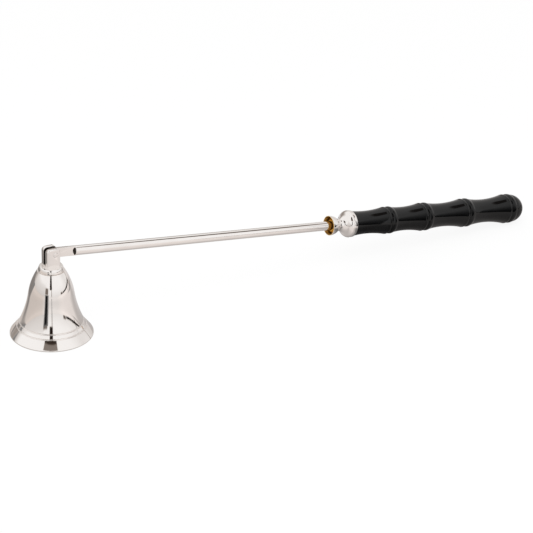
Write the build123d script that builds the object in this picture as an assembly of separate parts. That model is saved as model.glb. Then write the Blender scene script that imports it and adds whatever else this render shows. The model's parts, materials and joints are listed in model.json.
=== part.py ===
from build123d import *
import math
import os

# Candle snuffer: a bell that tilts in a fork at the end of a rod with a bamboo-turned handle.
# Origin: centre of the bell's mouth, on the table. +X runs from the bell to the handle, +Z is up.
# The pieces of the rod are drawn along +X with the hinge at zero, then tipped down
# until the last ring of the handle rests on the table.
# All sizes are in millimetres.

# Bell, from the mouth up
mouth_diameter = 42.6
rim_height = 0.6
lip_height = 5.0
lip_top_diameter = 35.4
band_height = 2.2
band_top_diameter = 32.7
band_groove_depth = 0.25
body_height = 15.7
body_hollow = 0.57
shoulder_diameter = 23.4
shoulder_height = 12.7
crown_diameter = 14.1
bell_wall = 1.0

# Collar on the crown
collar_base_diameter = 13.2
collar_height = 2.5
collar_top_diameter = 11.8
collar_swell = 0.15
collar_edge_radius = 0.4

# Fork
fork_length = 7.2
fork_width = 7.0
fork_height = 10.0
fork_slot_width = 2.0
fork_slot_floor = 1.3
ear_top_radius = 2.0
ear_side_radius = 0.5

# Stud of the fork with its washer and nut
stud_diameter = 4.0
stud_end = 0.8
washer_diameter = 9.0
washer_thickness = 0.8
nut_across_flats = 7.0
nut_height = 3.0
nut_chamfer = 0.4

# Hinge
hinge_offset = 1.0
hinge_height = 7.0
pin_diameter = 2.6
pin_proud = 0.12

# Rod
rod_diameter = 5.0
rod_reach = 167.7
tongue_length = 12.0
rod_grip_depth = 24.0
rod_end_chamfer = 0.5

# Ferrule, from the front of its cup back
cup_diameter = 10.3
cup_depth = 4.6
cup_swell = 0.55
flange_edge = 0.25
flange_swell = 0.2
flange_length = 3.7
throat_diameter = 9.1
neck_diameter = 6.9
neck_length = 4.7
bulb_diameter = 15.05
bulb_length = 3.9
bulb_crest = 3.3
bulb_end_diameter = 14.8
ferrule_groove_depth = 0.25
ferrule_groove_length = 0.4
ferrule_band_length = 2.0
ferrule_band_diameter = 14.7
ferrule_band_edge = 0.3

# Handle, from its front face back; each ring is a crest and a bead with a groove between them
handle_front_diameter = 14.0
ring_places = (22.6, 47.7, 77.2, 108.2)
ring_diameters = (15.2, 15.85, 16.3, 16.85)
waist_diameters = (12.7, 13.25, 13.3, 13.3)
waist_share = 0.42
ring_round = 3.0
crest_lead = 1.0
bead_place = 3.3
bead_tail = 1.3
end_dome_length = 8.2

# Insert in the handle
insert_diameter = 8.6
insert_length = 30.0

# Fits
seat_clearance = 0.01
running_clearance = 0.05
tongue_side_clearance = 0.1

# Levels of the bell's side
lip_top = lip_height
band_top = lip_top + band_height
shoulder_level = band_top + body_height
crown_level = shoulder_level + shoulder_height
collar_top = crown_level + collar_height
slot_floor = collar_top + fork_slot_floor
fork_top = collar_top + fork_height
washer_level = crown_level - bell_wall
nut_level = washer_level - washer_thickness
hinge_level = collar_top + hinge_height

# Places along the rod, counted from the hinge
ferrule_length = (
    flange_length + neck_length + bulb_length + ferrule_groove_length + ferrule_band_length
)
handle_front = rod_reach + ferrule_length
rod_end = handle_front + rod_grip_depth


# Solid of revolution about X from a closed outline of places and radii
def turned(edges):
    return revolve(make_face(edges), axis=Axis.X)


# Solid of revolution about Z from a closed outline of radii and heights
def upright(edges):
    return revolve(Plane.XZ * make_face(edges), axis=Axis.Z)


# Round bar that stands along Z between two heights
def post(diameter, bottom, top):
    bar = Cylinder(diameter / 2, top - bottom, align=(Align.CENTER, Align.CENTER, Align.MIN))
    return Pos(0, 0, bottom) * bar


# Round bar that lies along X between two places
def bar(diameter, start, end):
    return Rot(0, 90, 0) * post(diameter, start, end)


# Round bar across the hinge, along Y
def cross_bar(diameter, length):
    return Rot(90, 0, 0) * Cylinder(diameter / 2, length)


# Ring with a square section on its corner, which cuts a V-groove round the bell
def groove_cutter(radius, height):
    inner = (radius - band_groove_depth, height)
    outer = (radius + band_groove_depth, height)
    low = (radius, height - band_groove_depth)
    high = (radius, height + band_groove_depth)
    return upright(Polyline(inner, low, outer, high, inner))


# Angle below level at which the last bead of the handle touches the table
def rod_droop():
    reach = handle_front + ring_places[-1] + bead_place
    core = ring_diameters[-1] / 2 - ring_round
    drop = math.asin((hinge_level - ring_round) / math.hypot(reach, core))
    return math.degrees(drop - math.atan2(core, reach))


# Fall of a ring's rounding below its highest point
def ring_fall(distance):
    return ring_round - math.sqrt(ring_round**2 - distance**2)


def make_bell():
    mouth = mouth_diameter / 2
    lip = (lip_top_diameter / 2, lip_top)
    band = (band_top_diameter / 2, band_top)
    crown = (crown_diameter / 2, crown_level)
    body = SagittaArc(band, (shoulder_diameter / 2, shoulder_level), body_hollow)
    shoulder = TangentArc(body @ 1, crown, tangent=body % 1)
    outline = [
        Polyline((0, crown_level), (0, 0), (mouth, 0), (mouth, rim_height), lip, band),
        body,
        shoulder,
        Line(crown, (0, crown_level)),
    ]
    blank = upright(outline)
    mouth_face = blank.faces().sort_by(Axis.Z)[0]
    bell = offset(blank, amount=-bell_wall, openings=[mouth_face])
    for radius, height in (lip, band):
        bell -= groove_cutter(radius, height)
    return bell - post(stud_hole, washer_level, crown_level)


def make_collar():
    base = (collar_base_diameter / 2, crown_level)
    top = (collar_top_diameter / 2, collar_top)
    outline = [
        Polyline(top, (0, collar_top), (0, crown_level), base),
        SagittaArc(base, top, -collar_swell),
    ]
    ring = upright(outline)
    ring = fillet(ring.edges().sort_by(Axis.Z)[-1], collar_edge_radius)
    return ring - post(stud_hole, crown_level, collar_top)


def make_fork():
    stand = (Align.CENTER, Align.CENTER, Align.MIN)
    block = Pos(0, 0, collar_top) * Box(fork_length, fork_width, fork_height, align=stand)
    top_edges = block.edges().filter_by(Axis.Y).group_by(Axis.Z)[-1]
    block = fillet(top_edges, ear_top_radius)
    block = fillet(block.edges().filter_by(Axis.Z), ear_side_radius)
    slot_height = fork_top - slot_floor
    block -= Pos(0, 0, slot_floor) * Box(fork_length, fork_slot_width, slot_height, align=stand)
    pin_hole = cross_bar(pin_diameter + 2 * seat_clearance, fork_width)
    block -= Pos(hinge_offset, 0, hinge_level) * pin_hole
    return block + post(stud_diameter, nut_level - nut_height - stud_end, collar_top)


def make_crown_washer():
    return post(washer_diameter, nut_level, washer_level) - post(stud_hole, nut_level, washer_level)


def make_crown_nut():
    bottom = nut_level - nut_height
    flats = RegularPolygon(nut_across_flats / 2, 6, major_radius=False)
    nut = Pos(0, 0, bottom) * extrude(flats, nut_height)
    nut = chamfer(nut.edges().group_by(Axis.Z)[0], nut_chamfer)
    return nut - post(stud_hole, bottom, nut_level)


def make_hinge_pin():
    pin = cross_bar(pin_diameter, fork_width + 2 * pin_proud)
    return Pos(hinge_offset, 0, hinge_level) * chamfer(pin.edges().filter_by(GeomType.CIRCLE), pin_proud)


def make_rod():
    radius = rod_diameter / 2
    tip = bar(rod_diameter, -radius, 0) & cross_bar(rod_diameter, rod_diameter)
    rod = chamfer(bar(rod_diameter, 0, rod_end).edges().sort_by(Axis.X)[-1], rod_end_chamfer) + tip
    tongue_half = fork_slot_width / 2 - tongue_side_clearance
    cheek = Box(tongue_length + radius, radius, rod_diameter, align=(Align.MAX, Align.MIN, Align.CENTER))
    for side in (1, -1):
        flat = cheek if side > 0 else mirror(cheek, Plane.XZ)
        rod -= Pos(tongue_length, side * tongue_half, 0) * flat
    return rod - cross_bar(pin_diameter + 2 * running_clearance, rod_diameter)


def make_ferrule():
    bore = rod_diameter / 2 + seat_clearance
    cup = cup_diameter / 2
    throat = throat_diameter / 2
    flange_back = rod_reach + flange_length
    bulb_front = flange_back + neck_length
    bulb_back = bulb_front + bulb_length
    band_front = bulb_back + ferrule_groove_length
    bulb_end = bulb_end_diameter / 2
    band = ferrule_band_diameter / 2
    rim = cup + flange_edge
    shoulder = (rod_reach + cup_depth, bore)
    neck = ((flange_back + bulb_front) / 2, neck_diameter / 2)
    crest = (bulb_front + bulb_crest, bulb_diameter / 2)
    outline = [
        SagittaArc(shoulder, (rod_reach, cup), -cup_swell),
        Line((rod_reach, cup), (rod_reach, rim)),
        SagittaArc((rod_reach, rim), (flange_back, throat), flange_swell),
        ThreePointArc((flange_back, throat), neck, (bulb_front, throat)),
        ThreePointArc((bulb_front, throat), crest, (bulb_back, bulb_end)),
        Polyline(
            (bulb_back, bulb_end),
            (bulb_back, bulb_end - ferrule_groove_depth),
            (band_front, bulb_end - ferrule_groove_depth),
            (band_front, band),
            (handle_front - ferrule_band_edge, band),
            (handle_front, band - ferrule_band_edge),
            (handle_front, bore),
            shoulder,
        ),
    ]
    return turned(outline)


def make_handle():
    start = (handle_front, handle_front_diameter / 2)
    outline = [Line((handle_front, 0), start)]
    for place, ring, waist in zip(ring_places, ring_diameters, waist_diameters):
        crest = (handle_front + place, ring / 2)
        bead = (crest[0] + bead_place, crest[1])
        flare = (crest[0] - crest_lead, crest[1] - ring_fall(crest_lead))
        groove = (crest[0] + bead_place / 2, crest[1] - ring_fall(bead_place / 2))
        tail = (bead[0] + bead_tail, bead[1] - ring_fall(bead_tail))
        waist_place = start[0] + waist_share * (flare[0] - start[0])
        outline += [
            ThreePointArc(start, (waist_place, waist / 2), flare),
            ThreePointArc(flare, crest, groove),
            ThreePointArc(groove, bead, tail),
        ]
        start = tail
    dome = EllipticalCenterArc((start[0], 0), end_dome_length, start[1], arc_size=90)
    outline += [dome, Line(dome @ 0, (handle_front, 0))]
    insert_end = handle_front + insert_length
    return turned(outline) - bar(insert_diameter + 2 * seat_clearance, handle_front, insert_end)


def make_handle_insert():
    sleeve = bar(insert_diameter, handle_front, handle_front + insert_length)
    return sleeve - bar(rod_diameter + 2 * seat_clearance, handle_front, rod_end)


stud_hole = stud_diameter + 2 * seat_clearance
tipped = Pos(hinge_offset, 0, hinge_level) * Rot(0, rod_droop(), 0)

pieces = {
    "bell": make_bell(),
    "collar": make_collar(),
    "fork": make_fork(),
    "crown_washer": make_crown_washer(),
    "crown_nut": make_crown_nut(),
    "hinge_pin": make_hinge_pin(),
    "rod": tipped * make_rod(),
    "ferrule": tipped * make_ferrule(),
    "handle": tipped * make_handle(),
    "handle_insert": tipped * make_handle_insert(),
}

os.makedirs("parts", exist_ok=True)
for name, piece in pieces.items():
    export_step(piece, f"parts/{name}.step")
print(f"rod droop {rod_droop():.2f} degrees, hinge {hinge_level:.2f} above the table")
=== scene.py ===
import json
import math

import bpy
from mathutils import Matrix, Vector

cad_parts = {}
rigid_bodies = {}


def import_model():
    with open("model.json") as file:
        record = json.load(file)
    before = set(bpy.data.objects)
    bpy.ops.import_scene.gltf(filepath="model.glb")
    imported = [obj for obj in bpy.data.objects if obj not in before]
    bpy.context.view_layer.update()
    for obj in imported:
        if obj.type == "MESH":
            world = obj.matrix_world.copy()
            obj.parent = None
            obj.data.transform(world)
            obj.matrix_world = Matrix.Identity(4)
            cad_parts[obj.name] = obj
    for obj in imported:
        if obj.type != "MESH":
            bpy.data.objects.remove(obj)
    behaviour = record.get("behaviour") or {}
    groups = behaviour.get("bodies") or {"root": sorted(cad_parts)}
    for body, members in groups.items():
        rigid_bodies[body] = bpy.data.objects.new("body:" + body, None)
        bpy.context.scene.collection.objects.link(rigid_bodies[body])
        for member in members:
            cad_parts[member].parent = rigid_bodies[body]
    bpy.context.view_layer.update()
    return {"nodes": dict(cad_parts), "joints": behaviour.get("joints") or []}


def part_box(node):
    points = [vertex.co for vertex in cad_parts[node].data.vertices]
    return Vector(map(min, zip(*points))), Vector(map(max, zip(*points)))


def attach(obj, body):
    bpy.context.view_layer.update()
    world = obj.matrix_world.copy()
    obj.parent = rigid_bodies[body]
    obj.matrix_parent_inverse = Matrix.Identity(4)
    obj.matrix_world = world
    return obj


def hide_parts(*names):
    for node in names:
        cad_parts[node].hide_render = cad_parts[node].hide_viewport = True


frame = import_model()
mm = 0.001
print("frame loaded:", len(frame["nodes"]), "nodes")

hinge = Vector(frame["joints"][0]["pos_m"])
bellBody, rodBody = frame["joints"][0]["parent"], frame["joints"][0]["child"]


def boxCentre(node):
    low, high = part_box(node)
    return (low + high) / 2


# the insert is a plain sleeve on the rod's axis, so its middle gives the rod's slope
rodLine = boxCentre("handle_insert") - hinge
rodDroop = math.atan2(-rodLine.z, rodLine.x)


# small modelling helpers

def deselectAll():
    if bpy.context.mode != "OBJECT":
        bpy.ops.object.mode_set(mode="OBJECT")
    bpy.ops.object.select_all(action="DESELECT")


def makeActive(piece):
    deselectAll()
    piece.select_set(True)
    bpy.context.view_layer.objects.active = piece


def nameNew(name):
    piece = bpy.context.object
    piece.name = name
    piece.data.name = name
    return piece


def circleThrough(a, b, c):
    # centre of the circle through three points of an outline
    ax, ay, bx, by, cx, cy = *a, *b, *c
    d = 2 * (ax * (by - cy) + bx * (cy - ay) + cx * (ay - by))
    x = ((ax**2 + ay**2) * (by - cy) + (bx**2 + by**2) * (cy - ay) + (cx**2 + cy**2) * (ay - by)) / d
    y = ((ax**2 + ay**2) * (cx - bx) + (bx**2 + by**2) * (ax - cx) + (cx**2 + cy**2) * (bx - ax)) / d
    return Vector((x, y))


def arcAbout(centre, start, end, steps):
    # points after start up to end, the short way round the centre
    first, last = Vector(start) - centre, Vector(end) - centre
    turn = math.atan2(first.x * last.y - first.y * last.x, first.dot(last))
    return [centre + Matrix.Rotation(turn * i / steps, 2) @ first for i in range(1, steps + 1)]


def arcThrough(start, middle, end, steps=12):
    centre = circleThrough(start, middle, end)
    half = max(1, steps // 2)
    return arcAbout(centre, start, middle, half) + arcAbout(centre, middle, end, half)


def bowedArc(start, end, bow, steps=12):
    # arc whose middle stands off the straight line by bow, to the left of the way along it
    start, end = Vector(start), Vector(end)
    side = Vector((start.y - end.y, end.x - start.x)).normalized()
    return arcThrough(start, (start + end) / 2 + bow * side, end, steps)


def roundCorner(before, corner, after, radius, steps=4):
    # rounded corner of an outline, as points from one side to the other
    corner = Vector(corner)
    toBefore, toAfter = (Vector(before) - corner).normalized(), (Vector(after) - corner).normalized()
    half = toBefore.angle(toAfter) / 2
    run = radius / math.tan(half)
    centre = corner + (toBefore + toAfter).normalized() * radius / math.sin(half)
    first = corner + toBefore * run
    return [first] + arcAbout(centre, first, corner + toAfter * run, steps)


def drawOutline(name, points):
    # one vertex, extruded from point to point; pieces are drawn in millimetres
    deselectAll()
    bpy.ops.mesh.primitive_plane_add(size=1)
    piece = nameNew(name)
    bpy.ops.object.mode_set(mode="EDIT")
    bpy.ops.mesh.select_mode(type="VERT")
    bpy.ops.mesh.select_all(action="SELECT")
    bpy.ops.mesh.merge(type="CENTER")
    bpy.ops.transform.translate(value=points[0])
    for here, there in zip(points, points[1:]):
        bpy.ops.mesh.extrude_region_move(TRANSFORM_OT_translate={"value": there - here})
    return piece


def spinOutline(name, points, axis, steps, smoothAngle=32):
    piece = drawOutline(name, points)
    bpy.ops.mesh.select_all(action="SELECT")
    bpy.ops.mesh.remove_doubles(threshold=0.001)
    bpy.ops.mesh.select_all(action="SELECT")
    bpy.ops.mesh.spin(steps=steps, angle=math.tau, center=(0, 0, 0), axis=axis)
    bpy.ops.mesh.select_all(action="SELECT")
    bpy.ops.mesh.remove_doubles(threshold=0.001)
    bpy.ops.mesh.normals_make_consistent(inside=False)
    bpy.ops.object.mode_set(mode="OBJECT")
    bpy.ops.object.shade_smooth_by_angle(angle=math.radians(smoothAngle))
    return piece


def settle(piece, place=(0, 0, 0), droop=0.0):
    # from millimetres to metres, tipped about Y and moved to its place
    makeActive(piece)
    piece.scale = (mm, mm, mm)
    piece.rotation_euler = (0, droop, 0)
    piece.location = place
    bpy.ops.object.transform_apply(location=True, rotation=True, scale=True)
    return piece


def spinUpright(name, outline, steps=160):
    # outline of (radius, height), spun about the bell's axis
    return spinOutline(name, [Vector((p[0], 0, p[1])) for p in outline], (0, 0, 1), steps)


def spinAlongRod(name, outline, steps=128):
    # outline of (place along the rod, radius), spun about the rod's axis
    return spinOutline(name, [Vector((p[0], 0, p[1])) for p in outline], (1, 0, 0), steps)


def addBox(name, low, high):
    # box between two corners
    deselectAll()
    low, high = Vector(low), Vector(high)
    bpy.ops.mesh.primitive_cube_add(size=1, location=(low + high) / 2, scale=high - low)
    bpy.ops.object.transform_apply(location=True, rotation=True, scale=True)
    return nameNew(name)


def addBar(name, radius, length, axis, centre, steps=96):
    # round bar along one axis
    deselectAll()
    turn = {"X": (0, math.pi / 2, 0), "Y": (math.pi / 2, 0, 0)}[axis]
    bpy.ops.mesh.primitive_cylinder_add(vertices=steps, radius=radius, depth=length, location=centre,
                                        rotation=turn)
    bpy.ops.object.transform_apply(location=True, rotation=True, scale=True)
    return nameNew(name)


def cutWith(piece, cutter):
    makeActive(piece)
    cut = piece.modifiers.new("cut", "BOOLEAN")
    cut.operation = "DIFFERENCE"
    cut.solver = "EXACT"
    cut.object = cutter
    bpy.ops.object.modifier_apply(modifier=cut.name)
    bpy.data.objects.remove(cutter)


def breakEdges(piece, width, steps=2, angle=40):
    # light rounding of the sharp edges, then smooth shading across it
    makeActive(piece)
    bevel = piece.modifiers.new("edges", "BEVEL")
    bevel.width = width
    bevel.segments = steps
    bevel.limit_method = "ANGLE"
    bevel.angle_limit = math.radians(angle)
    bpy.ops.object.modifier_apply(modifier=bevel.name)
    bpy.ops.object.shade_smooth_by_angle(angle=math.radians(32))


def finishPiece(piece, body, node, slot, *materials):
    for material in materials:
        if material.name not in piece.data.materials:
            piece.data.materials.append(material)
    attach(piece, body)
    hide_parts(node)


# shader writing: a socket that can be used in sums

class Socket:
    def __init__(self, tree, link):
        self.tree, self.link = tree, link

    def make(self, kind, settings=None, output=0, **inputs):
        node = self.tree.nodes.new(kind)
        for key, value in (settings or {}).items():
            if key == "stops":
                ramp = node.color_ramp
                while len(ramp.elements) < len(value):
                    ramp.elements.new(0.5)
                for stop, (place, shade) in zip(ramp.elements, value):
                    stop.position = place
                    stop.color = (*shade, 1) if hasattr(shade, "__len__") else (shade, shade, shade, 1)
            else:
                setattr(node, key, value)
        for key, value in inputs.items():
            number = int(key[1:]) if key[0] == "i" and key[1:].isdigit() else key.replace("_", " ")
            if isinstance(value, Socket):
                self.tree.links.new(value.link, node.inputs[number])
            else:
                node.inputs[number].default_value = value
        return Socket(self.tree, node.outputs[output])

    def maths(self, operation, first, second=0.0):
        return self.make("ShaderNodeMath", {"operation": operation}, i0=first, i1=second)

    def __add__(self, other):
        return self.maths("ADD", self, other)

    def __radd__(self, other):
        return self.maths("ADD", other, self)

    def __sub__(self, other):
        return self.maths("SUBTRACT", self, other)

    def __rsub__(self, other):
        return self.maths("SUBTRACT", other, self)

    def __mul__(self, other):
        return self.maths("MULTIPLY", self, other)

    def __rmul__(self, other):
        return self.maths("MULTIPLY", other, self)

    def __truediv__(self, other):
        return self.maths("DIVIDE", self, other)

    def step(self, low, high):
        # 0 below low, 1 above high, smooth between
        return self.make("ShaderNodeMapRange", {"interpolation_type": "SMOOTHSTEP"}, Value=self,
                         From_Min=low, From_Max=high)

    def most(self, other):
        return self.maths("MAXIMUM", self, other)

    def least(self, other):
        return self.maths("MINIMUM", self, other)


def newMaterial(name):
    material = bpy.data.materials.new(name)
    material.use_nodes = True
    tree = material.node_tree
    surface = tree.nodes["Principled BSDF"]
    start = Socket(tree, surface.outputs[0])
    place = start.make("ShaderNodeTexCoord", output=3)  # object coordinates
    return material, tree, surface, place


def feed(tree, surface, **inputs):
    for key, value in inputs.items():
        socket = surface.inputs[key.replace("_", " ")]
        if isinstance(value, Socket):
            tree.links.new(value.link, socket)
        else:
            socket.default_value = value


def noiseAt(place, scale, detail=3.0, roughness=0.5, stretch=(1, 1, 1), turn=0.0):
    spot = place.make("ShaderNodeMapping", Vector=place, Scale=stretch, Rotation=(0, turn, 0))
    return place.make("ShaderNodeTexNoise", Vector=spot, Scale=scale, Detail=detail, Roughness=roughness)


# finishes

nickelPlate = {"tint": (0.90, 0.865, 0.84), "cloud": (0.86, 0.82, 0.795), "roughness": 0.055,
               "haze": 0.05, "markStrength": 0.012}


def makeNickel(name, stretch, turn=0.0, satin=0.0):
    # polished plate: faint polishing marks along one direction, a soft haze, a slightly warm tint
    material, tree, surface, place = newMaterial(name)
    marks = noiseAt(place, 90, 4, 0.6, stretch, turn)
    haze = noiseAt(place, 70, 3, 0.5)
    specks = noiseAt(place, 900, 2, 0.5)
    tint = place.make("ShaderNodeMix", {"data_type": "RGBA"}, output=2, Factor=haze.step(0.35, 0.75),
                      i6=(*nickelPlate["tint"], 1), i7=(*nickelPlate["cloud"], 1))
    rough = nickelPlate["roughness"] + satin + nickelPlate["haze"] * haze.step(0.45, 0.8) * marks
    bump = place.make("ShaderNodeBump", Height=marks + specks * 0.15, Distance=0.00002,
                      Strength=nickelPlate["markStrength"] + satin)
    feed(tree, surface, Base_Color=tint, Metallic=1.0, Roughness=rough, Normal=bump)
    return material


bareBrass = {"tint": (0.76, 0.50, 0.15), "tarnish": (0.45, 0.24, 0.05), "roughness": 0.16}


def makeBrass(name):
    # unplated metal: golden, with darker patches and tool marks
    material, tree, surface, place = newMaterial(name)
    patches = noiseAt(place, 260, 4, 0.6)
    marks = noiseAt(place, 1500, 2, 0.5)
    tint = place.make("ShaderNodeMix", {"data_type": "RGBA"}, output=2, Factor=patches.step(0.4, 0.8),
                      i6=(*bareBrass["tint"], 1), i7=(*bareBrass["tarnish"], 1))
    bump = place.make("ShaderNodeBump", Height=marks, Distance=0.00003, Strength=0.02)
    feed(tree, surface, Base_Color=tint, Metallic=1.0, Normal=bump,
         Roughness=bareBrass["roughness"] + 0.12 * patches)
    return material


# colour stops along the cup's depth: the near-black stops in the middle are painted shade
cupShadeFinish = {"front": 167.7, "depth": 4.6, "roughness": 0.24,
             "stops": ((0.0, (0.95, 0.66, 0.27)), (0.26, (0.66, 0.38, 0.08)), (0.42, (0.10, 0.05, 0.01)),
                       (0.52, (0.08, 0.04, 0.008)), (0.68, (0.85, 0.56, 0.16)), (1.0, (0.92, 0.60, 0.14)))}


def makeCupBrassShade(name):
    # unplated inside of the ferrule's cup: brass at its rim and floor, with a near-black band between that is
    # painted shade in the cup's depth
    material, tree, surface, place = newMaterial(name)
    along = Vector((math.cos(rodDroop), 0, -math.sin(rodDroop)))
    reach = place.make("ShaderNodeVectorMath", {"operation": "DOT_PRODUCT"}, output=1, i0=place, i1=along)
    depth = (reach - (hinge.dot(along) + cupShadeFinish["front"] * mm)) / (cupShadeFinish["depth"] * mm)
    patches = noiseAt(place, 330, 3, 0.5)
    tint = place.make("ShaderNodeValToRGB", {"stops": cupShadeFinish["stops"]},
                      Fac=depth + 0.04 * (patches - 0.5))
    feed(tree, surface, Base_Color=tint, Metallic=0.7 + 0.3 * depth.step(0.25, 0.5),
         Roughness=cupShadeFinish["roughness"] + 0.1 * patches)
    return material


blackLacquer = {"tint": (0.0018, 0.0018, 0.002), "worn": (0.0035, 0.0035, 0.0038), "roughness": 0.04}


def makeLacquer(name):
    # glossy black coat over turned wood: slight orange peel and a few duller patches
    material, tree, surface, place = newMaterial(name)
    patches = noiseAt(place, 120, 4, 0.55)
    peel = noiseAt(place, 420, 2, 0.5)
    tint = place.make("ShaderNodeMix", {"data_type": "RGBA"}, output=2, Factor=patches.step(0.4, 0.8),
                      i6=(*blackLacquer["tint"], 1), i7=(*blackLacquer["worn"], 1))
    bump = place.make("ShaderNodeBump", Height=peel, Distance=0.00004, Strength=0.02)
    feed(tree, surface, Base_Color=tint, Normal=bump,
         Roughness=blackLacquer["roughness"] + 0.08 * patches.step(0.45, 0.85))
    surface.inputs["Specular IOR Level"].default_value = 0.3
    return material


# near-black tint: painted shade in the slot and on the rod's filed step
slotShadeFinish = {"tint": (0.035, 0.03, 0.026), "roughness": 0.5}


def makeSlotShade(name):
    # painted shade: near-black metal for the unpolished slot walls and the rod's filed step, standing for the
    # shade there, with faint marks
    material, tree, surface, place = newMaterial(name)
    marks = noiseAt(place, 800, 3, 0.6)
    tint = place.make("ShaderNodeMix", {"data_type": "RGBA"}, output=2, Factor=marks.step(0.35, 0.8),
                      i6=(*slotShadeFinish["tint"], 1), i7=(0.06, 0.05, 0.042, 1))
    feed(tree, surface, Base_Color=tint, Metallic=1.0, Roughness=slotShadeFinish["roughness"] + 0.1 * marks)
    return material


bellNickel = makeNickel("nickel_bell", (1, 1, 22))
insideNickel = makeNickel("nickel_inside", (1, 1, 22), satin=0.28)
fittingNickel = makeNickel("nickel_fittings", (3, 3, 10))
rodNickel = makeNickel("nickel_rod", (1.5, 12, 12), rodDroop)
brass = makeBrass("bare_brass")
cupBrassShade = makeCupBrassShade("cup_brass_painted_shade")
lacquer = makeLacquer("lacquer_coat")
slotShade = makeSlotShade("slot_walls_painted_shade")
print("finishes made")


# bell: turned outline with a band between two fine grooves, and an even wall

bellShape = {"rimHeight": 0.6, "lipTop": (17.7, 5.0), "bandTop": (16.35, 7.2), "grooveRadius": 0.42,
             "bodyBow": 0.57, "shoulder": (11.7, 22.9), "crownRadius": 7.05, "wall": 1.0,
             "studHole": 2.01, "rimRound": 0.18, "lipBow": 0.05}


def grooveIn(before, corner, after, radius, steps=6):
    # round groove cut at a corner of the outline
    corner = Vector(corner)
    first = corner + (Vector(before) - corner).normalized() * radius
    last = corner + (Vector(after) - corner).normalized() * radius
    bottom = corner + Vector((first.y - last.y, last.x - first.x)).normalized() * radius
    return [first] + arcThrough(first, bottom, last, steps)


def makeBell():
    shape = bellShape
    low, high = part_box("bell")
    mouth, crownLevel = (high.x - low.x) / 2 / mm, high.z / mm
    wall = shape["wall"]
    rim = Vector((mouth, shape["rimHeight"]))
    lip, band, shoulder = Vector(shape["lipTop"]), Vector(shape["bandTop"]), Vector(shape["shoulder"])
    crown = Vector((shape["crownRadius"], crownLevel))
    body = [band] + bowedArc(band, shoulder, shape["bodyBow"], 30)
    bodyCentre = circleThrough(body[0], body[15], body[30])
    # the shoulder's arc carries on smoothly from the body's
    inward = (bodyCentre - shoulder).normalized() * -1
    chord = crown - shoulder
    shoulderRadius = chord.length_squared / (2 * inward.dot(chord))
    shoulderCentre = shoulder + inward * shoulderRadius
    outer = [Vector((mouth - shape["rimRound"], 0)), Vector((mouth, shape["rimRound"]))]
    lipSweep = bowedArc(rim, lip, -shape["lipBow"], 12)
    outer += roundCorner(outer[-1], rim, lipSweep[2], shape["rimRound"]) + lipSweep[1:-2]
    outer += grooveIn(lipSweep[-3], lip, band, shape["grooveRadius"])
    outer += grooveIn(lip, band, body[4], shape["grooveRadius"])
    outer += body[2:] + arcAbout(shoulderCentre, shoulder, crown, 24)
    innerShoulder = shoulder + inward * wall
    innerBand = band + (band - bodyCentre).normalized() * wall
    # the inner side of the shoulder stops where it meets the flat under the crown
    innerRise = crownLevel - wall - shoulderCentre.y
    innerCrown = Vector((shoulderCentre.x + math.sqrt((shoulderRadius - wall) ** 2 - innerRise**2),
                         crownLevel - wall))
    lipSide = Vector((lip.y - rim.y, rim.x - lip.x)).normalized() * -wall
    hole = shape["studHole"]
    inner = [Vector((hole, crownLevel)), Vector((hole, crownLevel - wall)), innerCrown]
    inner += arcAbout(shoulderCentre, innerCrown, innerShoulder, 20)
    inner += arcAbout(bodyCentre, innerShoulder, innerBand, 24)
    inner += [lip + lipSide, Vector((mouth - wall, shape["rimHeight"] * 0.5)), Vector((mouth - wall, 0))]
    piece = settle(spinUpright("bell_shell", outer + inner + outer[:1], 192))
    finishPiece(piece, bellBody, "bell", "plated_bell", bellNickel, insideNickel)
    # the inside is plated but was never polished
    for face in piece.data.polygons:
        inward = face.normal.xy.dot(face.center.xy) < 0
        ceiling = face.normal.z < -0.8 and face.center.z > shoulder.y * mm
        face.material_index = 1 if inward or ceiling else 0


makeBell()
print("bell made")

# collar: low turned ring on the crown, both edges rounded

collarShape = {"baseRadius": 6.6, "topRadius": 5.9, "swell": 0.15, "edgeRound": 0.4, "footRound": 0.3,
               "studHole": 2.01}


def makeCollar():
    shape = collarShape
    low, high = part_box("collar")
    bottom, top = low.z / mm, high.z / mm
    base, peak = Vector((shape["baseRadius"], bottom)), Vector((shape["topRadius"], top))
    side = bowedArc(base, peak, -shape["swell"], 16)
    outline = [Vector((shape["studHole"], top)), Vector((shape["studHole"], bottom))]
    outline += roundCorner(outline[-1], base, side[5], shape["footRound"])
    outline += side[3:11]
    outline += roundCorner(side[9], peak, outline[0], shape["edgeRound"], 6)
    piece = settle(spinUpright("collar_ring", outline + outline[:1], 128))
    finishPiece(piece, bellBody, "collar", "plated_fittings", fittingNickel)


makeCollar()

# fork: block with rounded shoulders, a slot for the rod's tongue and a threaded stud below

forkShape = {"topRound": 2.0, "sideRound": 0.45, "slotWidth": 2.0, "slotFloor": 39.4, "pinHole": 1.31,
             "studRadius": 2.0, "threadDepth": 0.22, "threadPitch": 0.5, "tipChamfer": 0.35,
             "footSink": 0.6, "edge": 0.07}


def selectEdges(piece, wanted):
    # picks edges by their middle and direction
    bpy.ops.object.mode_set(mode="EDIT")
    bpy.ops.mesh.select_mode(type="EDGE")
    bpy.ops.mesh.select_all(action="DESELECT")
    bpy.ops.object.mode_set(mode="OBJECT")
    for edge in piece.data.edges:
        a, b = (piece.data.vertices[corner].co for corner in edge.vertices)
        edge.select = bool(wanted((a + b) / 2, (b - a).normalized()))
    bpy.ops.object.mode_set(mode="EDIT")


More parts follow.
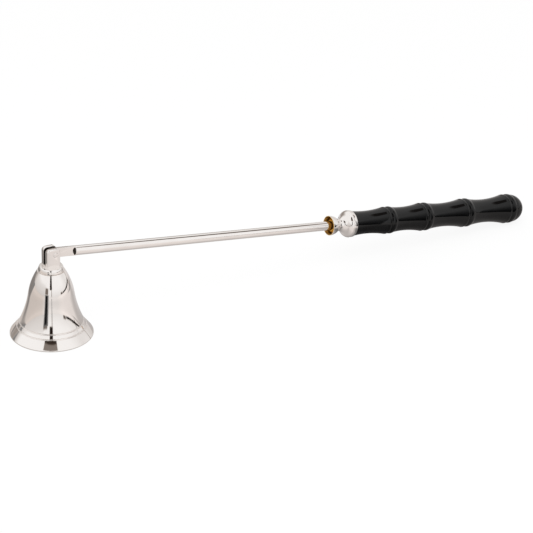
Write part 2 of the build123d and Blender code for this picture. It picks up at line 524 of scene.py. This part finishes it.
def makeFork():
    shape = forkShape
    low, high = (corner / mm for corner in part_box("fork"))
    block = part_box("collar")[1].z / mm
    # the block's foot reaches a little into the collar, so that its rounded bottom edge is hidden
    piece = addBox("fork_block", (low.x, low.y, block - shape["footSink"]), (high.x, high.y, high.z))
    makeActive(piece)
    selectEdges(piece, lambda middle, way: abs(way.y) > 0.9 and middle.z > high.z - 0.1)
    bpy.ops.mesh.bevel(offset=shape["topRound"], segments=10)
    selectEdges(piece, lambda middle, way: abs(way.y) < 0.1 and abs(middle.y) > high.y - 0.05)
    bpy.ops.mesh.bevel(offset=shape["sideRound"], segments=4)
    bpy.ops.object.mode_set(mode="OBJECT")
    half = shape["slotWidth"] / 2
    cutWith(piece, addBox("slot", (low.x - 1, -half, shape["slotFloor"]), (high.x + 1, half, high.z + 1)))
    pinHole = addBar("pin_hole", shape["pinHole"], 9, "Y", hinge / mm, 48)
    cutWith(piece, pinHole)
    breakEdges(piece, shape["edge"])
    # stud with a fine thread where it stands free below the nut
    stud, tip, ring = shape["studRadius"], low.z, []
    for turnNumber in range(3):
        foot = tip + 0.2 + turnNumber * shape["threadPitch"]
        ring += [Vector((stud - shape["threadDepth"], foot)),
                 Vector((stud, foot + shape["threadPitch"] / 2))]
    outline = [Vector((0, tip)), Vector((stud - shape["tipChamfer"], tip)), *ring,
               Vector((stud, block)), Vector((0, block))]
    rod = spinUpright("stud", outline, 48)
    makeActive(piece)
    rod.select_set(True)
    bpy.ops.object.join()
    settle(piece)
    finishPiece(piece, bellBody, "fork", "plated_fittings", fittingNickel, slotShade)
    # painted shade: the slot's walls and floor get the near-black slot finish
    for face in piece.data.polygons:
        spot = face.center / mm
        onWall = abs(abs(spot.y) - half) < 0.02 and spot.z > shape["slotFloor"]
        onFloor = abs(spot.y) < half and abs(spot.z - shape["slotFloor"]) < 0.02
        face.material_index = 1 if onWall or onFloor else 0


makeFork()

# hinge pin: rivet with slightly domed ends

pinShape = {"radius": 1.3, "crownRadius": 0.85, "crownRise": 0.17}


def makeHingePin():
    shape = pinShape
    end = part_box("hinge_pin")[1].y / mm
    side = Vector((shape["radius"], end - shape["crownRise"]))
    dome = [side] + arcThrough(side, (shape["crownRadius"], end - 0.03), (0, end), 8)
    outline = [Vector((p.x, -p.y)) for p in reversed(dome)] + dome
    points = [Vector((p.x, p.y, 0)) for p in outline]
    piece = settle(spinOutline("rivet", points, (0, 1, 0), 48), hinge)
    finishPiece(piece, bellBody, "hinge_pin", "plated_fittings", fittingNickel)


makeHingePin()
print("collar, fork and pin made")

# rod: round bar with a flat tongue filed at its front end

rodShape = {"radius": 2.5, "end": 206.4, "endChamfer": 0.5, "tongueLength": 12.0, "tongueHalf": 0.9,
            "tongueHeight": 2.45, "pinHole": 1.35, "stepRound": 0.3, "tongueEdge": 0.16, "tongueRoot": 0.5}


def makeRod():
    s = rodShape
    radius, step, tall = s["radius"], s["tongueLength"], s["tongueHeight"]
    front, end = Vector((step, 0)), Vector((s["end"], radius))
    chamfer = s["endChamfer"]
    outline = [front] + roundCorner(front, (step, radius), end, s["stepRound"])
    outline += [end - Vector((chamfer, 0)), end - Vector((0, chamfer)), Vector((s["end"], 0))]
    piece = spinAlongRod("rod_bar", outline, 144)
    piece.data.materials.append(rodNickel)
    piece.data.materials.append(slotShade)
    # the filed step behind the tongue is left dull, and gets the near-black slot finish as painted shade
    for face in piece.data.polygons:
        face.material_index = 1 if face.center.x < step + 0.02 else 0
    half, root = s["tongueHalf"], step + s["tongueRoot"]
    tongue = addBox("tongue", (-radius, -half, -tall), (root, half, tall))
    makeActive(tongue)
    selectEdges(tongue, lambda middle, way: abs(way.y) > 0.9 and middle.x < 0)
    bpy.ops.mesh.bevel(offset=tall - 0.01, segments=16)
    bpy.ops.object.mode_set(mode="OBJECT")
    cutWith(tongue, addBar("pin_hole", s["pinHole"], 10, "Y", (0, 0, 0), 48))
    breakEdges(tongue, s["tongueEdge"], 3)
    tongue.data.materials.append(rodNickel)
    makeActive(piece)
    tongue.select_set(True)
    bpy.ops.object.join()
    settle(piece, hinge, rodDroop)
    finishPiece(piece, rodBody, "rod", "plated_rod", rodNickel)


makeRod()

# ferrule: open cup, neck, bulb, groove and end band; places along the rod, then radii

ferruleShape = {"front": 167.7, "bore": 2.51, "cup": 5.15, "cupDepth": 4.6, "cupSwell": 0.55, "rim": 5.4,
                "rimRound": 0.11, "flangeSwell": 0.2, "flangeBack": (171.4, 4.55), "neck": (173.6, 3.45),
                "flare": (177.5, 5.6), "bulb": (178.8, 7.0), "bulbBack": (180.0, 7.48), "groove": 7.15,
                "grooveSlope": 0.1, "bandFront": 180.4, "band": 7.35, "bandRound": 0.25, "end": 182.4,
                "edge": 0.3}


def makeFerrule():
    s = ferruleShape
    shoulder = Vector((s["front"] + s["cupDepth"], s["bore"]))
    cup, rim = Vector((s["front"], s["cup"])), Vector((s["front"], s["rim"]))
    flangeBack, flare, bulbBack = (Vector(s[k]) for k in ("flangeBack", "flare", "bulbBack"))
    groove, slope = s["groove"], s["grooveSlope"]
    bandFoot, bandFront = Vector((s["bandFront"], groove)), Vector((s["bandFront"], s["band"]))
    bandBack, end = Vector((s["end"], s["band"])), Vector((s["end"], s["bore"]))
    flange = [rim] + bowedArc(rim, flangeBack, s["flangeSwell"], 16)
    outline = [shoulder] + bowedArc(shoulder, cup, -s["cupSwell"], 16)
    outline += roundCorner(cup, rim, flange[2], s["rimRound"]) + flange[1:]
    outline += arcThrough(flangeBack, s["neck"], flare, 20) + arcThrough(flare, s["bulb"], bulbBack, 24)
    outline += [Vector((bulbBack.x + slope, groove)), Vector((bandFoot.x - slope, groove))]
    outline += roundCorner(bandFoot, bandFront, bandBack, s["bandRound"])
    outline += roundCorner(bandFront, bandBack, end, s["edge"]) + [end]
    piece = spinAlongRod("ferrule_turning", outline + outline[:1], 144)
    piece.data.materials.append(fittingNickel)
    piece.data.materials.append(cupBrassShade)
    # the plate did not reach into the cup, so its inside and front edge show the bare metal, with painted
    # shade in the cup's depth
    for face in piece.data.polygons:
        inward = face.normal.yz.dot(face.center.yz) < 0
        face.material_index = 1 if face.center.x < shoulder.x and (inward or face.normal.x < -0.8) else 0
    settle(piece, hinge, rodDroop)
    finishPiece(piece, rodBody, "ferrule", "plated_fittings", fittingNickel, cupBrassShade)


makeFerrule()
print("rod and ferrule made")

# handle: four flared sections like bamboo, each ending in a crest and a bead

handleShape = {"front": 182.4, "frontRadius": 7.0, "bore": 4.31, "boreDepth": 30.0,
               "rings": ((22.6, 7.6, 6.35), (47.7, 7.925, 6.625), (77.2, 8.15, 6.65), (108.2, 8.425, 6.65)),
               "waistShare": 0.42, "domeLength": 8.2}

# places on a ring, from its crest: the crest, the groove behind it and the bead
ringShape = {"flare": (-1.0, -0.17), "crest": (-0.15, 0.0), "edge": (0.45, -0.12), "grooveFront": (0.85, -0.6),
             "grooveBack": (1.45, -0.6), "bead": (3.1, 0.0), "tail": (4.6, -0.42)}
grooveBow = 0.08


def makeHandle():
    s = handleShape
    start = Vector((s["front"], s["frontRadius"]))
    outline = [Vector((s["front"], s["bore"])), start]
    for place, ring, waist in s["rings"]:
        middle = Vector((s["front"] + place, ring))
        flare, crest, edge, front, back, bead, tail = (middle + Vector(p) for p in ringShape.values())
        waistPlace = start.x + s["waistShare"] * (flare.x - start.x)
        outline += arcThrough(start, (waistPlace, waist), flare, 24) + arcThrough(flare, crest, edge, 8)
        outline += bowedArc(front, back, -grooveBow, 4) + arcThrough(back, bead, tail, 14)
        start = tail
    for i in range(1, 21):
        turn = math.pi / 2 * i / 20
        outline.append(Vector((start.x + s["domeLength"] * math.sin(turn), start.y * math.cos(turn))))
    boreEnd = s["front"] + s["boreDepth"]
    outline += [Vector((boreEnd, 0)), Vector((boreEnd, s["bore"])), outline[0]]
    piece = settle(spinAlongRod("handle_turning", outline, 144), hinge, rodDroop)
    finishPiece(piece, rodBody, "handle", "black_lacquer", lacquer)


makeHandle()
print("handle made")

# hidden brass parts keep their solids
for node in ("crown_washer", "crown_nut", "handle_insert"):
    fitted = frame["nodes"][node]
    fitted.data.materials.clear()
    fitted.data.materials.append(brass)

# camera: fitted to the outline of the object in the photograph

photoCamera = {"aim": (128.42, 0.25, 7.93), "distance": 1026.9, "azimuth": 32.62, "elevation": 26.70,
               "roll": 2.54, "lens": 128.1}

# stage: pale floor that stays white to the camera and keeps a faint shadow, and shows painted shade to
# polished metal

stageSet = {"floorSize": 6.0, "floorColour": (0.86, 0.86, 0.86), "whiteShare": 0.9,
            "front": (0.85, 0.82, 0.80), "left": (0.72, 0.65, 0.60), "right": (0.97, 0.91, 0.88),
            "back": (0.86, 0.82, 0.81), "underHandle": 0.65, "darkCorner": 0.75}


def splitVector(vector):
    node = vector.make("ShaderNodeSeparateXYZ", Vector=vector).link.node
    return [Socket(vector.tree, output) for output in node.outputs]


def lookAround(x, y):
    # degrees round from the camera's side, to the right
    turn = math.radians(photoCamera["azimuth"])
    across = x * math.cos(turn) - y * math.sin(turn)
    toward = x * -math.sin(turn) - y * math.cos(turn)
    return x.maths("ARCTAN2", across, toward) * (180 / math.pi)


def makeFloor():
    deselectAll()
    bpy.ops.mesh.primitive_plane_add(size=stageSet["floorSize"], location=(0.14, 0, 0))
    floor = nameNew("floor")
    material, tree, surface, place = newMaterial("pale_floor")
    feed(tree, surface, Base_Color=(*stageSet["floorColour"], 1), Roughness=0.9)
    surface.inputs["Specular IOR Level"].default_value = 0.0
    path = place.make("ShaderNodeLightPath").link.node
    mirrored = Socket(tree, path.outputs["Is Glossy Ray"])
    seen = Socket(tree, path.outputs["Is Camera Ray"]).most(mirrored)
    seen = seen.most(Socket(tree, path.outputs["Is Transmission Ray"]))
    # painted shade for reflections: polished metal shows the table dimmer and tinted by direction, with
    # painted shadow close under the object
    x, y = splitVector(place.make("ShaderNodeNewGeometry"))[:2]
    around = lookAround(x, y)
    behind = x.least(0.0)
    reach = x.maths("SQRT", behind * behind + y * y)
    shade = (1, 1, 1, 1)
    for share, colour in ((1.0, "front"), (around.step(30, 60), "right"), (1 - around.step(-38, -12), "left"),
                          (around.step(115, 150), "back"), (1 - around.step(-165, -130), "back")):
        shade = place.make("ShaderNodeMix", {"data_type": "RGBA"}, output=2, Factor=mirrored * share,
                           i6=shade, i7=(*stageSet[colour], 1))
    nearness = 0.5 + 0.32 * reach.step(0.0, 0.04) + 0.18 * reach.step(0.04, 0.35)
    # painted shadow below the handle, and a painted dark patch to the left behind the bell, both seen only in
    # reflections
    underHandle = x.step(0.17, 0.2) * (1 - reach.step(0.05, 0.12)) * (1.3 - x.step(0.2, 0.26))
    behindBell, leftOfBell = x * 0.61 + y * 0.79, y * 0.61 - x * 0.79
    darkCorner = behindBell.step(0.012, 0.024) * leftOfBell.step(0.03, 0.06)
    nearness = nearness * (1 - stageSet["underHandle"] * underHandle)
    nearness = nearness * (1 - stageSet["darkCorner"] * darkCorner)
    shade = place.make("ShaderNodeMix", {"data_type": "RGBA", "blend_type": "MULTIPLY"}, output=2,
                       Factor=mirrored, i6=shade, i7=nearness)
    white = place.make("ShaderNodeEmission", Color=shade, Strength=1.0)
    mixed = place.make("ShaderNodeMixShader", i0=seen * stageSet["whiteShare"],
                       i1=Socket(tree, surface.outputs[0]), i2=white)
    tree.links.new(mixed.link, tree.nodes["Material Output"].inputs["Surface"])
    floor.data.materials.append(material)


makeFloor()

# painted reflections: glowing dark cards beside the object, out of the camera's sight, which only the polished
# pieces show and which cast no shadow:
# the two ends of the foot in mm, lower and upper edge in mm, brightness at those edges
cardSet = {"leftCard": ((-93.4, -65.1), (-71.4, -90.0), (0.5, 31.0), (0.2, 0.2)),
           "leftCore": ((-88.0, -68.9), (-76.6, -81.9), (0.5, 29.0), (0.01, 0.01)),
           "leftRear": ((-60.0, 70.2), (-321.0, 271.4), (2.0, 30.0), (0.25, 0.25)),
           "slitCard": ((-48.0, -102.3), (-43.5, -104.3), (0.5, 20.0), (0.3, 0.3)),
           "handleCard": ((240.0, -99.0), (600.0, -248.0), (0.5, 170.0), (0.0, 0.9))}


def makeCards():
    for name, (start, end, heights, shades) in cardSet.items():
        deselectAll()
        start, end = Vector(start) * mm, Vector(end) * mm
        low, high = heights[0] * mm, heights[1] * mm
        middle, run = (start + end) / 2, end - start
        bpy.ops.mesh.primitive_plane_add(size=1, location=(*middle, (low + high) / 2),
                                         rotation=(math.pi / 2, 0, math.atan2(run.y, run.x)))
        card = nameNew(name)
        card.scale = (run.length, high - low, 1)
        bpy.ops.object.transform_apply(location=False, rotation=False, scale=True)
        material, tree, surface, place = newMaterial(name + "_felt")
        rise = splitVector(place.make("ShaderNodeNewGeometry"))[2].step(low, high)
        shade = shades[0] + (shades[1] - shades[0]) * rise
        # each card glows with its set brightness, a painted reflection rather than a lamp
        dark = place.make("ShaderNodeEmission", Color=shade, Strength=1.0)
        tree.links.new(dark.link, tree.nodes["Material Output"].inputs["Surface"])
        card.data.materials.append(material)
        card.visible_camera = card.visible_diffuse = card.visible_shadow = False


# soft studio light: a white tent with a few dark gaps, which only the polished metal shows

tent = {"keySize": 0.9, "keyPower": 7.0, "keyPlace": (-0.2, -0.5, 1.1), "keyAim": (0.14, 0, 0.02)}

# parts of the tent that are not full white, as the object sees them: degrees round from the
# camera's side, degrees above level, softness of the edges, brightness
tentGaps = {"skirt": ((-400, 400), (-30, 3), 12.0, 0.80),
            "lens": ((-0.5, 11.0), (12, 38), 1.0, 0.015),
            "slit": ((7.5, 10.0), (-2, 12), 0.8, 0.3),
            "leftStand": ((-24, -9), (3, 14), 1.5, 0.2),
            "roof": ((-20, 25), (42, 80), 1.0, 0.24),
            "roofEdge": ((-20, 25), (50, 80), 0.8, 0.15),
            "leftBack": ((-400, -110), (-5, 25), 14.0, 0.34),
            "leftWall": ((-110, -22), (-10, 17), 5.0, 0.82),
            "rightSide": ((85, 400), (8, 40), 18.0, 0.86),
            "rightBack": ((130, 400), (-10, 40), 14.0, 0.85),
            "rightLine": ((90, 126), (-2, 2.4), 0.6, 0.01),
            "handleLine": ((68, 91), (-2, 2.0), 0.6, 0.0),
            "rightSpot": ((56, 66), (-2, 3.0), 1.0, 0.12),
            "overhead": ((95, 140), (49, 66), 3.0, 0.15)}


def makeWorld():
    world = bpy.data.worlds.new("tent")
    bpy.context.scene.world = world
    world.use_nodes = True
    tree = world.node_tree
    background = tree.nodes["Background"]
    start = Socket(tree, background.outputs[0])
    way = start.make("ShaderNodeTexCoord", output=0)
    x, y, up = splitVector(way)
    around = lookAround(x, y)
    above = start.maths("ARCSINE", up) * (180 / math.pi)
    light = start.make("ShaderNodeValue")
    light.link.default_value = 1.0
    for sides, heights, soft, brightness in tentGaps.values():
        inside = 1.0
        for value, (least, most) in ((around, sides), (above, heights)):
            inside = value.step(least - soft, least + soft) * inside
            inside = (1 - value.step(most - soft, most + soft)) * inside
        light = light * (1 - inside * (1 - brightness))
    path = start.make("ShaderNodeLightPath").link.node
    light = light.most(Socket(tree, path.outputs["Is Camera Ray"]))
    light = light.most(Socket(tree, path.outputs["Is Diffuse Ray"]) * 0.8)
    # the dimmer parts of the tent are warmer
    warm = start.make("ShaderNodeCombineColor", i0=light, i1=light.maths("POWER", light, 1.1),
                      i2=light.maths("POWER", light, 1.18))
    tree.links.new(warm.link, background.inputs["Color"])
    background.inputs["Strength"].default_value = 1.0


def addArea(name, place, aim, size, power):
    deselectAll()
    bpy.ops.object.light_add(type="AREA", location=place)
    lamp = bpy.context.object
    lamp.name = name
    lamp.data.size = size
    lamp.data.energy = power
    lamp.visible_glossy = False
    lamp.rotation_euler = (Vector(aim) - Vector(place)).to_track_quat("-Z", "Y").to_euler()


makeCards()
makeWorld()
addArea("key_light", tent["keyPlace"], tent["keyAim"], tent["keySize"], tent["keyPower"])
print("stage and light made")


def makeCamera():
    shape = photoCamera
    turn, tilt, roll = (math.radians(shape[k]) for k in ("azimuth", "elevation", "roll"))
    look = Vector((math.sin(turn) * math.cos(tilt), math.cos(turn) * math.cos(tilt), -math.sin(tilt)))
    level = Vector((math.cos(turn), -math.sin(turn), 0))
    upright = level.cross(look)
    right = level * math.cos(roll) + upright * math.sin(roll)
    up = right.cross(look)
    place = Vector(shape["aim"]) * mm - look * shape["distance"] * mm
    camera = bpy.data.objects.new("photo_camera", bpy.data.cameras.new("photo_camera"))
    bpy.context.scene.collection.objects.link(camera)
    camera.matrix_world = Matrix.Translation(place) @ Matrix((right, up, -look)).transposed().to_4x4()
    camera.data.sensor_width = 36
    camera.data.lens = shape["lens"]
    bpy.context.scene.camera = camera


makeCamera()
bpy.context.scene.view_settings.view_transform = "Standard"
print("camera set")
